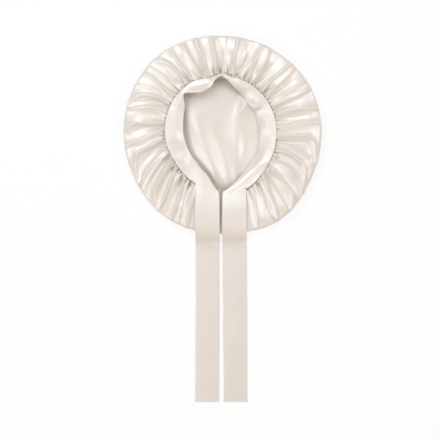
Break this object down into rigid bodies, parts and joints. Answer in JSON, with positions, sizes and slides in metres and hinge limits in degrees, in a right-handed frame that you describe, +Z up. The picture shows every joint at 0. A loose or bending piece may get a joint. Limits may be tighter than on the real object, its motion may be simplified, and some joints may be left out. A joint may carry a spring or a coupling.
{
  "type": "sleep bonnet",
  "caption": "Round satin sleep bonnet lying flat with its gathered opening up, a band round the opening and long flat ties laid straight down.",
  "frame": {"origin": "middle of the footprint on the surface that the bonnet lies on", "axes": "+Z up out of the opening, +Y from the ties' ends towards the crown, along the length; +X to the right as the opening is looked into"},
  "size_m": [0.325, 0.6047, 0.0319],
  "materials": {
    "crown_satin": "lustrous ivory satin",
    "band_satin": "ivory satin, double layer",
    "tie_satin": "ivory satin, double layer, pressed flat"
  },
  "bodies": {
    "root": {"crown": "crown_satin", "band": "band_satin", "tie_left": "tie_satin", "tie_right": "tie_satin"}
  },
  "joints": []
}
